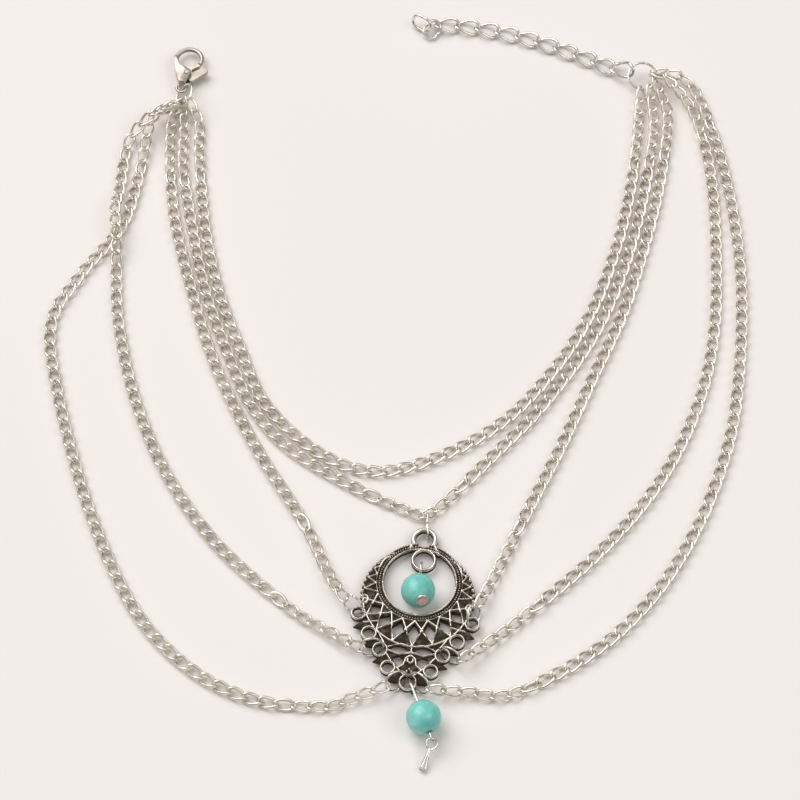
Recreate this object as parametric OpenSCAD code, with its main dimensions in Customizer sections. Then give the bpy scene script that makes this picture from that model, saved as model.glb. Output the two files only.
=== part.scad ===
// A multi-strand chain anklet, laid open and flat on a surface.
// Five curb-chain strands run from the clasp's jump ring to the extender's jump ring.
// Four of them carry a pierced cast pendant with two stone beads and a small drop.
// X points right, Y points from the drop to the clasp, and the surface is at Z = 0.

/* [Curb chain] */
// Outer length of one curb link
link_length = 4.02; // [3.99:0.01:4.04]
// Outer width of one curb link
link_width = 2.2; // [2.18:0.01:2.22]
// Wire thickness of one curb link
link_wire = 0.48; // [0.46:0.01:0.49]
// Height of the twist that lets flat-lying links interlock
link_twist = 0.42; // [0.41:0.01:0.43]
// Largest distance from one link to the next
link_pitch = 2.82; // [2.81:0.01:2.83]

/* [Extender] */
// Outer length of one extender link
extender_length = 5.55; // [5.5:0.01:5.6]
// Outer width of one extender link
extender_width = 3.5; // [3.4:0.05:3.6]
// Wire thickness of one extender link
extender_wire = 0.65; // [0.6:0.01:0.65]
// Tilt of the extender links, to one side and the other in turn
extender_tilt = 26; // [25:1:28]

/* [Jump rings] */
// Outer diameter of the clasp's jump ring
clasp_ring_d = 5.1; // [5.05:0.01:5.15]
// Outer diameter of the jump ring that joins strands and extender
end_ring_d = 6; // [5.95:0.01:6.05]
// Wire thickness of the two larger jump rings
big_ring_wire = 0.5; // [0.48:0.01:0.52]
// Outer diameter of the six jump rings round the pendant
small_ring_d = 4.55; // [4.53:0.01:4.57]
// Wire thickness of the jump rings round the pendant
small_ring_wire = 0.4; // [0.38:0.01:0.42]

/* [Clasp] */
// Thickness of the clasp's body
clasp_thick = 2.8; // [2.7:0.1:2.9]
// Radius of the jaw, to the middle of its bar
jaw_r = 2.5; // [2.45:0.01:2.55]
// Thickness of the jaw's bar
jaw_bar = 0.9; // [0.85:0.01:0.95]
// Thickness of the lever
lever_thick = 0.9; // [0.85:0.01:0.95]
// Diameter of the pivot pin
pin_d = 0.7; // [0.66:0.01:0.72]
// Space between the pivot pin and its bores
pin_play = 0.03; // [0.02:0.01:0.05]

/* [Pendant] */
// Height of the pendant's back above the surface
pendant_lift = 0.7; // [0.68:0.01:0.72]
// Thickness of the pendant's recessed ground
ground_thick = 0.7; // [0.65:0.01:0.75]
// Thickness of the pendant up to its raised lines
relief_thick = 1.05; // [1:0.01:1.1]
// Radius of the round opening
opening_r = 6.25; // [6.2:0.01:6.3]
// Radius of the outer contour
outer_r = 9.8; // [9.7:0.01:9.9]
// Distance from the opening's centre down to the outer contour's centre
outer_drop = 2.95; // [2.9:0.01:3]

/* [Beads and drop] */
// Diameter of the two stone beads
bead_d = 6; // [5.9:0.05:6.1]
// Diameter of the bore through a bead
bead_bore = 1; // [0.9:0.05:1.1]
// Wire thickness of the bead pins
pin_wire = 0.5; // [0.45:0.01:0.52]
// Length of the drop charm below its eye
charm_length = 4.8; // [4.7:0.1:4.9]

/* [Hidden] */
$fn = 48;

// Routes of the strands, from the clasp's end to the extender's end.
// Each point is x, y and the height of the chain's middle.
flat = 0.67;
route_1 = [
    [-40.01, 57.9, 2.5], [-38.59, 54.99, 1.28], [-38.2, 52.5, 0.8], [-38, 46, flat],
    [-36.4, 30.5, flat], [-33.4, 16, flat], [-28.9, 3, flat], [-23.9, -9, flat],
    [-14.4, -18.9, flat], [-4, -23, flat], [7.5, -20, flat], [19.4, -12.5, flat],
    [29.2, -0.9, flat], [36.1, 11.2, flat], [40.7, 23.7, flat], [43.8, 35.5, flat],
    [46.1, 49, flat], [46.79, 55.23, 0.87], [47.41, 61.16, 1.27]
];
route_2 = [
    [-41.67, 57.47, 1.33], [-41.3, 55.52, 1.01], [-41.2, 51, 0.7], [-41, 43.5, flat],
    [-38.9, 30.5, flat], [-35.9, 16, flat], [-31.6, 3.1, flat], [-26.7, -8.9, flat],
    [-19.5, -18.1, flat], [-7, -26.6, flat], [2.62, -31.4, 0.83], [4.32, -32.23, 1.1],
    [8.04, -29.69, 0.68], [18, -19, flat], [26.2, -9.6, flat], [34.9, 3.3, flat],
    [40.7, 15.8, flat], [45, 29.3, flat], [48.1, 43.4, flat], [49.72, 53.36, 0.86],
    [49.31, 61.67, 1.42]
];
route_3_left = [
    [-43.3, 56.7, flat], [-44.6, 49, flat], [-42.6, 34.5, flat], [-38.8, 17.4, flat],
    [-33.5, -0.3, flat], [-25.6, -17.7, flat], [-16.5, -33.5, flat], [-9.5, -45.5, flat]
];
route_3_right = [
    [16.5, -46, flat], [22.5, -32.5, flat], [29, -19, flat], [35.5, -4, flat],
    [41.9, 10.8, flat], [46.9, 26.9, flat], [50.4, 41.5, flat], [52.4, 54.5, flat],
    [51.4, 62.6, 1.6]
];
route_4_left = [
    [-44.4, 60.9, 0.8], [-50.2, 51.7, flat], [-53, 39.1, flat], [-53.4, 33.3, 2.3],
    [-52.8, 26.6, 2.3], [-52.6, 20.7, flat], [-51.5, 8, flat], [-47.5, -8.5, flat],
    [-41, -24, flat], [-31.5, -38, flat], [-19, -50, flat], [-7, -59, flat]
];
route_4_right = [
    [12, -59, flat], [22.5, -51.5, flat], [36, -39, flat], [47, -25, flat],
    [54.5, -9.5, flat], [58.5, 6.5, flat], [60, 25.5, flat], [59.9, 43.5, flat],
    [56.3, 58, flat], [52, 64.1, 2.3]
];
route_5_left = [
    [-44.4, 58.2, flat], [-47.3, 51, flat], [-49.3, 43, flat], [-52.1, 30.5, flat],
    [-59.5, 18.8, flat], [-64, 8.5, flat], [-62, -6, flat], [-55, -30, flat],
    [-46, -50, flat], [-36, -61.5, flat], [-25, -67.5, flat], [-13, -69, flat],
    [-3, -67, flat]
];
route_5_right = [
    [7, -66.3, flat], [20, -66.5, flat], [33.5, -59, flat], [43.5, -49.5, flat],
    [51.5, -37.5, flat], [57.5, -24, flat], [61.5, -9.5, flat], [64, 12, flat],
    [64, 29.5, flat], [62.2, 46, flat], [58.8, 60, flat], [55.5, 65, 1.2],
    [51.8, 65.9, 2.5]
];

// The extender's links: centre and turn of each, from the jump ring to the free end
extender_low = 0.97;
extender_places = [
    [[44.01, 66.82, 2.02], [56, -18, -28]],
    [[40.44, 68.61, 1.16], [extender_tilt + 1, 6, 153]],
    [[36.8, 70.4, extender_low], [-extender_tilt, 0, 155]],
    [[33.1, 72.15, extender_low], [extender_tilt, 0, 155]],
    [[29.35, 73.75, extender_low], [-extender_tilt, 0, 157]],
    [[25.55, 75.2, extender_low], [extender_tilt, 0, 161]],
    [[21.65, 76.4, extender_low], [-extender_tilt, 0, 164]],
    [[17.75, 77.4, extender_low], [extender_tilt, 0, 167]],
    [[13.75, 78.1, extender_low], [-extender_tilt, 0, 172]],
    [[9.75, 78.5, extender_low], [extender_tilt, 0, 178]]
];

// Ring poses: centre, tilt and turn of each jump ring
clasp_ring_pose = [[-41.5, 60.5, 1.95], [0, -45, 0]];
end_ring_pose = [[47.86, 64.89, 2.17], [17, 0, 0]];

// The pendant's place and turn
pendant_at = [3.9, -45.6, pendant_lift];
pendant_turn = -6.25;

// Functions of the chain routes
function bend(a, b, c, d, t) =
    0.5 * (2 * b + (c - a) * t + (2 * a - 5 * b + 4 * c - d) * t * t
        + (3 * b - a - 3 * c + d) * t * t * t);
function smooth(route, steps) = concat(
    [for (i = [0:len(route) - 2]) for (k = [0:steps - 1])
        bend(route[max(i - 1, 0)], route[i], route[i + 1],
            route[min(i + 2, len(route) - 1)], k / steps)],
    [route[len(route) - 1]]
);
function lengths(path) =
    [for (i = 0, s = 0; i < len(path);
        s = s + (i + 1 < len(path) ? norm(path[i + 1] - path[i]) : 0), i = i + 1) s];
function tables(path) =
    let (run = lengths(path))
    [for (axis = [0:2]) [for (i = [0:len(path) - 1]) [run[i], path[i][axis]]]];
function total(path) = lengths(path)[len(path) - 1];
function at(table, s) = [for (axis = [0:2]) lookup(s, table[axis])];

// The centre line of a twisted curb link, and its direction at the angle t
link_a = (link_length - link_wire) / 2;
link_b = (link_width - link_wire) / 2;
function link_line(t) = [link_a * cos(t), link_b * sin(t), link_twist * sin(2 * t)];
function link_way(t) = [-link_a * sin(t), link_b * cos(t), 2 * link_twist * cos(2 * t)];
function unit(v) = v / norm(v);

link_sides = 10;
wire_sides = 5;

// Points of the wire round a link, ring by ring
function wire_ring(t) =
    let (way = unit(link_way(t)), side = unit(cross([0, 0, 1], way)), up = cross(way, side))
    [for (k = [0:wire_sides - 1])
        link_line(t) + link_wire / 2
            * (side * cos(360 * k / wire_sides) + up * sin(360 * k / wire_sides))];
// Two triangles for each patch between neighbouring rings of points
function closed_mesh(rings, sides) =
    [for (i = [0:rings - 1]) for (k = [0:sides - 1])
        let (a = i * sides, b = (i + 1) % rings * sides, n = (k + 1) % sides)
        each [[a + k, b + k, b + n], [a + k, b + n, a + n]]];

module curb_link() {
    polyhedron(
        points = [for (i = [0:link_sides - 1]) each wire_ring(360 * i / link_sides)],
        faces = closed_mesh(link_sides, wire_sides)
    );
}

// A strand of interlocking curb links along a route.
// The first and last links are rolled so that they hang on their rings.
module chain(route, first_rolls, last_rolls) {
    table = tables(smooth(route, 12));
    run = total(smooth(route, 12));
    gaps = ceil(run / link_pitch);
    step = run / gaps;
    for (i = [0:gaps]) {
        here = at(table, i * step);
        way = at(table, (i + 0.5) * step) - at(table, (i - 0.5) * step);
        roll = i < len(first_rolls) ? first_rolls[i]
            : gaps - i < len(last_rolls) ? last_rolls[gaps - i] : 0;
        translate(here)
            rotate([roll, -atan2(way.z, norm([way.x, way.y])), atan2(way.y, way.x)])
                curb_link();
    }
}

// A strand as a flat eight-sided band that narrows towards its ends
band_sides = 8;
band_thick = 1.2;
band_end = 1.1;
module band(route) {
    last = len(route) - 1;
    corner = cos(180 / band_sides);
    rings = [for (i = [0:last])
        let (
            way = unit(route[min(i + 1, last)] - route[max(i - 1, 0)]),
            side = unit(cross([0, 0, 1], way)),
            up = cross(way, side),
            w = (i == 0 || i == last ? band_end : link_width) / 2 / corner,
            h = (i == 0 || i == last ? band_end : band_thick) / 2 / corner
        )
        each [for (k = [0:band_sides - 1])
            route[i] + side * w * cos(360 * (k + 0.5) / band_sides)
                + up * h * sin(360 * (k + 0.5) / band_sides)]];
    sides = [for (i = [0:last - 1]) for (k = [0:band_sides - 1])
        let (a = i * band_sides, b = a + band_sides, n = (k + 1) % band_sides)
        each [[a + k, b + k, b + n], [a + k, b + n, a + n]]];
    polyhedron(points = rings, faces = concat(
        sides,
        [[for (k = [0:band_sides - 1]) k]],
        [[for (k = [band_sides - 1:-1:0]) last * band_sides + k]]
    ));
}

module wire_circle(outer_d, wire) {
    rotate_extrude() translate([(outer_d - wire) / 2, 0]) circle(d = wire);
}

module posed(pose) {
    translate(pose[0]) rotate(pose[1]) children();
}

// An oval link of round wire, flat in its own plane and long along X
module oval_link(length, width, wire) {
    end_r = (width - wire) / 2;
    straight = length - width;
    for (end = [-1, 1])
        translate([end * straight / 2, 0, 0])
            rotate([0, 0, -90 * end])
                rotate_extrude(angle = 180) translate([end_r, 0]) circle(d = wire);
    for (side = [-1, 1])
        translate([-straight / 2, side * end_r, 0])
            rotate([0, 90, 0]) cylinder(h = straight, d = wire);
}

// The lobster clasp lies with its eye at clasp_at and its jaw up along Y
clasp_at = [-42.1, 62.59];
clasp_middle = clasp_thick / 2;
jaw_at = [1.2, 6.95];
jaw_first = -30;
jaw_last = 197;
pivot_at = [0.9, 3];
eye_r = 0.98;
eye_bar = 0.56;
slot_thick = lever_thick + 0.2;
body_outline = [
    [-0.5, 0.75], [-0.9, 1.9], [-1.25, 3.4], [-1.55, 5], [-1.68, 6.3], [-1.6, 7.2],
    [-0.95, 7.1], [-0.95, 6.2], [-0.75, 5.6], [-0.55, 5], [0.05, 4.5], [1, 4.1], [1.65, 3.6],
    [1.75, 3], [1.35, 2], [0.95, 1.2], [0.5, 0.75]
];
slot_outline = [
    [0.3, 1.3], [-0.1, 1.9], [-0.5, 3.2], [-0.7, 5.6], [3, 5.6], [3, 1], [1, 0.9]
];
lever_outline = [
    [0.1, 3.2], [-0.2, 4], [-0.3, 4.75], [0.3, 4.85], [1.2, 5], [2.2, 5.35], [2.8, 5.7],
    [3.55, 5.3], [3.25, 4.95], [2.5, 4.55], [1.8, 4.1], [1.8, 3.5], [2.2, 3.5], [2.9, 4.05],
    [3.9, 4.5], [4.6, 4.45], [5, 4.05], [4.75, 3.45], [3.4, 2.45], [2.2, 1.5], [1.6, 1.4],
    [1.1, 1.9], [0.4, 2.5]
];

module clasp_body() {
    color("silver") translate([clasp_at.x, clasp_at.y, clasp_middle]) difference() {
        union() {
            translate([jaw_at.x, jaw_at.y, 0])
                rotate([0, 0, jaw_first])
                    rotate_extrude(angle = jaw_last - jaw_first)
                        translate([jaw_r, 0]) circle(d = jaw_bar);
            translate([0, 0, -clasp_thick / 2])
                linear_extrude(clasp_thick) polygon(body_outline);
            wire_circle(2 * eye_r + eye_bar, eye_bar);
        }
        translate([0, 0, -slot_thick / 2]) linear_extrude(slot_thick) polygon(slot_outline);
        translate([pivot_at.x, pivot_at.y, -clasp_thick])
            cylinder(h = 2 * clasp_thick, d = pin_d + 2 * pin_play);
    }
}

module clasp_pin() {
    color("gainsboro") translate([clasp_at.x + pivot_at.x, clasp_at.y + pivot_at.y, 0.05])
        cylinder(h = clasp_thick - 0.1, d = pin_d);
}

module clasp_lever() {
    color("gainsboro") translate([clasp_at.x, clasp_at.y, clasp_middle - lever_thick / 2])
        difference() {
            union() {
                translate([pivot_at.x, pivot_at.y, 0]) cylinder(h = lever_thick, r = 0.85);
                linear_extrude(lever_thick) polygon(lever_outline);
            }
            translate([pivot_at.x, pivot_at.y, -1])
                cylinder(h = lever_thick + 2, d = pin_d + 2 * pin_play);
        }
}

module clasp_ring() {
    color("silver") posed(clasp_ring_pose) wire_circle(clasp_ring_d, big_ring_wire);
}

module end_ring() {
    color("silver") posed(end_ring_pose) wire_circle(end_ring_d, big_ring_wire);
}

// Ten links lie in a row with their tilt alternating, and two tumbled ones end the row
module extender_link(i) {
    color("silver")
        if (i <= 10)
            posed(extender_places[i - 1])
                oval_link(extender_length, extender_width, extender_wire);
        else if (i == 11)
            translate([6.92, 77.45, 1.08]) rotate([16, -7, 52])
                oval_link(4.6, 3.4, extender_wire);
        else
            translate([4.79, 78.35, 1.76]) rotate([66, 3, -33])
                oval_link(4.6, 3.4, extender_wire);
}

module strand_1() {
    color("silver") chain(route_1, [-6, 6], [31, 21, 9]);
}

module strand_2() {
    color("silver") chain(route_2, [12, 16, 6], [22, 10.5]);
}

module strand_half(route) {
    color("silver") band(route);
}

// The pendant in its own axes, with the opening's centre at the origin and its back at Z = 0
lattice_step = 16.6;
lattice_in = 7.6;
// Distance from the opening's centre to the outer contour, at an angle from straight down
function reach(a) = outer_drop * cos(a) + sqrt(pow(outer_r, 2) - pow(outer_drop * sin(a), 2));
function polar(r, a) = [r * sin(a), -r * cos(a)];
function lattice_out(a) = reach(a) - 0.5;
function lattice_mid(a) = (lattice_in + lattice_out(a)) / 2;

// Small rings on the right half: x, y, outer radius and bore radius
side_rings = [
    [9.9, -7.1, 1.38, 0.95], [7.65, -10.75, 1.42, 1],
    [5.4, -13.65, 1.42, 1], [3.7, -16.85, 1.38, 0.95]
];
foot_ring = [0, -19.3, 1.6, 1.2];
top_loop = [0, 8.5, 2.25, 1.45];
inner_loop = [0, 4.1, 1.95, 1.4];
loop_neck = [[-1, 5.6], [1, 5.6], [1.4, 6.8], [-1.4, 6.8]];

// The apron below the crescent, and the small spikes between its rings
apron = [
    [-6, -10.8], [-4.9, -14.4], [-3.9, -15.6], [-3, -17.6], [-1, -18.9],
    [1, -18.9], [3, -17.6], [3.9, -15.6], [4.9, -14.4], [6, -10.8]
];
spikes = [
    [[8.2, -8], [10.6, -9.6], [6.9, -9.4]],
    [[6.4, -11.2], [8.2, -13.1], [5, -12.4]],
    [[4, -14.4], [5.9, -16.1], [3.4, -15.8]],
    [[2.4, -17.4], [3.1, -19.2], [0.8, -18.4]]
];

// Windows of the apron and sunk fields beside them, on the right half
arch_window = [[0.5, -13.35], [0.75, -12.8], [1.9, -12.5], [3.1, -12.7], [3.8, -13.3], [2.2, -13.7]];
low_window = [[1.2, -14.75], [2, -14.4], [2.9, -14.75], [2.5, -15.4], [1.9, -15.75]];
foot_window = [[-0.7, -16], [0, -15.5], [0.7, -16], [0, -16.8]];
apron_fields = [
    [[0.3, -14.3], [0.9, -14.5], [0.9, -15.1], [0.35, -14.9]],
    [[0.9, -15.9], [1.6, -16.2], [1, -17.2], [0.6, -16.9]],
    [[3.9, -13.9], [4.4, -14.2], [3.6, -15.1], [3.2, -14.4]],
    [[2.3, -16], [2.8, -15.7], [2.6, -16.6], [2, -17.2], [1.7, -16.9]],
    [[0, -17.3], [0.5, -17.5], [0.6, -18.1], [0, -18.3]]
];

module mirrored() {
    children();
    mirror([1, 0, 0]) children();
}

module disc(place, r) {
    translate([place.x, place.y]) circle(r = r);
}

// A field cut between crossing bars, from three or four corners
module between_bars(inner, middle, outer, a, half) {
    polygon([
        polar(inner, a), polar(middle, a - half), polar(outer, a), polar(middle, a + half)
    ]);
}

module plate() {
    difference() {
        union() {
            disc([0, -outer_drop], outer_r);
            circle(r = opening_r + 1.25);
            disc(top_loop, top_loop[2]);
            disc(foot_ring, foot_ring[2]);
            polygon(apron);
            mirrored() for (ring = side_rings) disc(ring, ring[2]);
        }
        circle(r = opening_r);
        disc(top_loop, top_loop[3]);
        disc(foot_ring, foot_ring[3]);
        polygon(foot_window);
        for (k = [-3:3])
            between_bars(lattice_in + 0.55, lattice_mid(k * lattice_step),
                lattice_out(k * lattice_step) - 0.5, k * lattice_step, 0.37 * lattice_step);
        mirrored() {
            for (ring = side_rings) disc(ring, ring[3]);
            polygon(arch_window);
            polygon(low_window);
        }
    }
}

// Sunk fields: triangles above and below each crossing, and those of the apron
module fields() {
    for (k = [-4:3]) {
        a = (k + 0.5) * lattice_step;
        middle = lattice_mid(a);
        out = lattice_out(a);
        polygon([
            polar(lattice_in + 0.05, a - 0.34 * lattice_step),
            polar(middle - 0.4, a),
            polar(lattice_in + 0.05, a + 0.34 * lattice_step)
        ]);
        polygon([
            polar(out - 0.05, a - 0.34 * lattice_step),
            polar(out - 0.05, a + 0.34 * lattice_step),
            polar(middle + 0.4, a)
        ]);
    }
    mirrored() for (field = apron_fields) polygon(field);
    for (side = [-1, 1]) for (k = [0:3]) {
        a = side * (76 + 11 * k);
        middle = (opening_r + 1.35 + reach(a)) / 2;
        polygon([
            polar(reach(a) - 0.9, a - 4), polar(opening_r + 1.45, a), polar(reach(a) - 0.9, a + 4)
        ]);
    }
}

module raised_ring(spec, height) {
    translate([spec.x, spec.y, 0]) difference() {
        cylinder(h = height, r = spec[2]);
        translate([0, 0, -1]) cylinder(h = height + 2, r = spec[3]);
    }
}

module pendant() {
    grains = 9;
    color("dimgray") translate(pendant_at) rotate([0, 0, pendant_turn]) {
        difference() {
            linear_extrude(relief_thick) plate();
            translate([0, 0, ground_thick]) linear_extrude(2) fields();
        }
        linear_extrude(ground_thick) mirrored() for (spike = spikes) polygon(spike);
        linear_extrude(relief_thick - 0.1) polygon(loop_neck);
        raised_ring(inner_loop, relief_thick - 0.05);
        translate([0, 0, 0.3])
            raised_ring([0, 0, opening_r + 1.15, opening_r + 0.15], relief_thick - 0.2);
        for (side = [-1, 1]) for (k = [1:grains])
            rotate([0, 0, side * (22 + 6.2 * k)])
                translate([0, reach(180 - 22 - 6.2 * k) - 0.45, relief_thick])
                    sphere(r = 0.3);
    }
}

// One long link holds strand 2 and the pendant's top loop
module hanger_link() {
    color("silver") translate([5.32, -34.19, 1.25]) rotate([84, 1, -90])
        oval_link(5.2, 2.3, small_ring_wire);
}

ring_poses = [
    [[-7.68, -50.33, 2.22], [73, 0, 324]],
    [[13.23, -52.29, 2.11], [65, 0, 67]],
    [[-4.44, -58.43, 2.21], [71, 0, 8]],
    [[9.15, -60.19, 2.3], [79, 0, 330]],
    [[-0.19, -64.84, 2.2], [68, 0, 29]],
    [[3.85, -65.25, 2.18], [70, 0, 319]]
];

module pendant_ring(i) {
    color("silver") posed(ring_poses[i]) wire_circle(small_ring_d, small_ring_wire);
}

// The upper bead lies in the opening, on a headed pin that hangs by its eye from the inner loop.
// These places are in the pendant's axes, with Z from the surface.
upper_bead_at = [0, -2.4, bead_d / 2];
upper_eye_at = [0, 2.42, 1.56];
upper_eye_r = 1.25;
upper_foot = [0, 1.32, 0.97];
upper_way = unit(upper_bead_at - upper_foot);
head_d = 2.3;
head_thick = 0.5;
shank_d = pin_wire - 0.06;

module in_pendant() {
    translate([pendant_at.x, pendant_at.y, 0]) rotate([0, 0, pendant_turn]) children();
}

// Turns Z to lie along a direction
module along(way) {
    rotate([0, acos(way.z), atan2(way.y, way.x)]) children();
}

module drilled_bead() {
    difference() {
        sphere(d = bead_d);
        cylinder(h = bead_d + 2, d = bead_bore, center = true);
    }
}

module upper_bead() {
    color("mediumturquoise") in_pendant() translate(upper_bead_at) along(upper_way) drilled_bead();
}

module upper_pin() {
    color("silver") in_pendant() {
        translate(upper_eye_at) rotate([0, 90, 0]) wire_circle(2 * upper_eye_r + pin_wire, pin_wire);
        translate(upper_foot) along(upper_way)
            cylinder(h = norm(upper_bead_at - upper_foot) + bead_d / 2 + 0.3, d = shank_d);
        translate(upper_bead_at) along(upper_way)
            translate([0, 0, bead_d / 2 + 0.06]) cylinder(h = head_thick, d = head_d);
    }
}

// The lower bead's pin runs level, and its two eyes hang down from it
lower_bead_at = [4.48, -71.91, bead_d / 2];
lower_turn = -71;
foot_eye_r = 1.35;
foot_eye_at = -6;
drop_eye_r = 0.65;
drop_eye_at = 3.9;
eye_wire = 0.45;

module on_lower_pin() {
    translate(lower_bead_at) rotate([0, 0, lower_turn]) children();
}

// An eye bent down from the end of the pin and almost closed against it
module bent_eye(along_pin, r, first, sweep) {
    translate([along_pin, 0, -r]) rotate([90, 0, 0]) rotate([0, 0, first])
        rotate_extrude(angle = sweep) translate([r, 0]) circle(d = eye_wire);
}

module lower_bead() {
    color("mediumturquoise") on_lower_pin() rotate([0, 90, 0]) drilled_bead();
}

module lower_pin() {
    color("silver") on_lower_pin() {
        bent_eye(foot_eye_at, foot_eye_r, 90, 306);
        bent_eye(drop_eye_at, drop_eye_r, 90 - 296, 296);
        translate([foot_eye_at, 0, 0]) rotate([0, 90, 0])
            cylinder(h = drop_eye_at - foot_eye_at, d = eye_wire);
    }
}

// The drop charm slopes from its eye down to the surface
charm_at = [5.83, -76.42, 2.13];
charm_turn = -21;
charm_slope = 20;
charm_roll = 0;
charm_eye_d = 2.3;
charm_thick = 0.55;

module drop_charm() {
    color("silver") translate(charm_at) rotate([0, 0, charm_turn]) rotate([charm_slope, 0, 0])
        rotate([0, charm_roll, 0]) {
        wire_circle(charm_eye_d, eye_wire);
        translate([0, -0.8, -charm_thick / 2]) linear_extrude(charm_thick) polygon([
            [-0.3, 0], [0.3, 0], [0.32, -1.2], [0.6, -charm_length + 1.2],
            [0.45, -charm_length + 0.6], [-0.45, -charm_length + 0.6],
            [-0.6, -charm_length + 1.2], [-0.32, -1.2]
        ]);
    }
}

clasp_body();
clasp_pin();
clasp_lever();
clasp_ring();
end_ring();
for (i = [1:12]) extender_link(i);
strand_1();
strand_2();
strand_half(route_3_left);  // strand_3_left
strand_half(route_3_right);  // strand_3_right
strand_half(route_4_left);  // strand_4_left
strand_half(route_4_right);  // strand_4_right
strand_half(route_5_left);  // strand_5_left
strand_half(route_5_right);  // strand_5_right
hanger_link();
pendant();
pendant_ring(0);  // ring_3_left
pendant_ring(1);  // ring_3_right
pendant_ring(2);  // ring_4_left
pendant_ring(3);  // ring_4_right
pendant_ring(4);  // ring_5_left
pendant_ring(5);  // ring_5_right
upper_bead();
upper_pin();
lower_bead();
lower_pin();
drop_charm();
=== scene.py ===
# The looks of a multi-strand chain anklet, laid open on a pale surface.
# Lengths are in millimetres until a mesh is made, and the meshes are in metres.
import math
import random

import bpy
import numpy as np
from mathutils import Matrix, Vector


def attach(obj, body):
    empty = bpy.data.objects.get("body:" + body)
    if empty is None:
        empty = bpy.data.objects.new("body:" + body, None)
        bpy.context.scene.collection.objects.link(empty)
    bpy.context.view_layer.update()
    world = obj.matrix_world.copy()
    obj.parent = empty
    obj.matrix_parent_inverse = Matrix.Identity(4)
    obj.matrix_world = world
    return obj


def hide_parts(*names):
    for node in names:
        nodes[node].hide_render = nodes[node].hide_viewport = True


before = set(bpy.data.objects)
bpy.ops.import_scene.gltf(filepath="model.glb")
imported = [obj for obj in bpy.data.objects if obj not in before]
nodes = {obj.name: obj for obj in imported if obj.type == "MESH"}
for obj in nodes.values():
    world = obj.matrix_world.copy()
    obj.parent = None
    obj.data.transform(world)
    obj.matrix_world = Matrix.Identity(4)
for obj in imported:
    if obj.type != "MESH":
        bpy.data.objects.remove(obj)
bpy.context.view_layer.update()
scene = bpy.context.scene
MM = 0.001


# Camera, at the photograph's viewing angle

def aim(obj, place, target):
    """Puts an object at a place and points its -Z axis at the target."""
    way = Vector(target) - Vector(place)
    obj.location = place
    obj.rotation_euler = way.to_track_quat("-Z", "Y").to_euler()


LENS = 121.5
CAMERA_AT = (0.0005, -0.261, 0.4217)
CAMERA_TARGET = (0.0005, -0.0076, 0)
camera_data = bpy.data.cameras.new("camera")
camera_data.lens = LENS
camera_data.sensor_width = 36
camera_data.sensor_fit = "HORIZONTAL"
camera_data.clip_start = 0.05
camera_data.clip_end = 20
camera = bpy.data.objects.new("camera", camera_data)
scene.collection.objects.link(camera)
aim(camera, CAMERA_AT, CAMERA_TARGET)
scene.camera = camera


# Small helpers for placing and for making meshes

def turn(a, b, c):
    """Rotation about X by a, then Y by b, then Z by c, in degrees."""
    a, b, c = (math.radians(v) for v in (a, b, c))
    rx = np.array([[1, 0, 0], [0, math.cos(a), -math.sin(a)], [0, math.sin(a), math.cos(a)]])
    ry = np.array([[math.cos(b), 0, math.sin(b)], [0, 1, 0], [-math.sin(b), 0, math.cos(b)]])
    rz = np.array([[math.cos(c), -math.sin(c), 0], [math.sin(c), math.cos(c), 0], [0, 0, 1]])
    return rz @ ry @ rx


def unit(v):
    v = np.asarray(v, float)
    return v / np.linalg.norm(v, axis=-1, keepdims=True)


def make(name, points, faces, sharp=None):
    """A smooth mesh object from points in millimetres and faces of equal size."""
    points = np.asarray(points, float) * MM
    faces = [np.asarray(f, int).reshape(-1, len(f[0])) for f in faces if len(f)]
    mesh = bpy.data.meshes.new(name)
    count = sum(len(f) for f in faces)
    corners = np.concatenate([f.ravel() for f in faces])
    sizes = np.concatenate([np.full(len(f), f.shape[1]) for f in faces])
    starts = np.concatenate([[0], np.cumsum(sizes)[:-1]])
    mesh.vertices.add(len(points))
    mesh.vertices.foreach_set("co", points.ravel())
    mesh.loops.add(len(corners))
    mesh.loops.foreach_set("vertex_index", corners)
    mesh.polygons.add(count)
    mesh.polygons.foreach_set("loop_start", starts)
    mesh.polygons.foreach_set("use_smooth", np.ones(count, bool))
    mesh.update(calc_edges=True)
    mesh.validate()
    if sharp is not None:
        mesh.set_sharp_from_angle(angle=math.radians(sharp))
    obj = bpy.data.objects.new(name, mesh)
    scene.collection.objects.link(obj)
    return obj


def tube(line, radius, sides, closed):
    """Points and faces of a round wire along a line, with its frame carried along the line."""
    line = np.asarray(line, float)
    count = len(line)
    if closed:
        ways = unit(np.roll(line, -1, 0) - np.roll(line, 1, 0))
    else:
        ways = unit(np.gradient(line, axis=0))
    side = np.cross(ways[0], [0.0, 0.0, 1.0])
    if np.linalg.norm(side) < 0.1:
        side = np.cross(ways[0], [0.0, 1.0, 0.0])
    side = unit(side)
    radii = np.broadcast_to(np.asarray(radius, float), (count,))
    angles = np.linspace(0, 2 * np.pi, sides, endpoint=False)
    rings = []
    for i in range(count):
        side = unit(side - ways[i] * np.dot(side, ways[i]))
        up = np.cross(ways[i], side)
        rings.append(line[i] + radii[i] * (np.outer(np.cos(angles), side)
                                           + np.outer(np.sin(angles), up)))
    points = np.concatenate(rings)
    shift = 0
    if closed:
        last = unit(side - ways[0] * np.dot(side, ways[0]))
        shift = int(np.argmax((rings[0] - line[0]) @ last))
    quads = []
    for i in range(count if closed else count - 1):
        j = (i + 1) % count
        move = shift if closed and i == count - 1 else 0
        for k in range(sides):
            n = (k + 1) % sides
            quads.append([i * sides + k, i * sides + n,
                          j * sides + (n + move) % sides, j * sides + (k + move) % sides])
    return points, np.array(quads)


def end_caps(total, sides):
    """Triangles that close a row of rings of `total` points, from two middle points stored after them."""
    tris = []
    for k in range(sides):
        n = (k + 1) % sides
        tris.append([total, n, k])
        tris.append([total + 1, total - sides + k, total - sides + n])
    return tris


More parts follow.
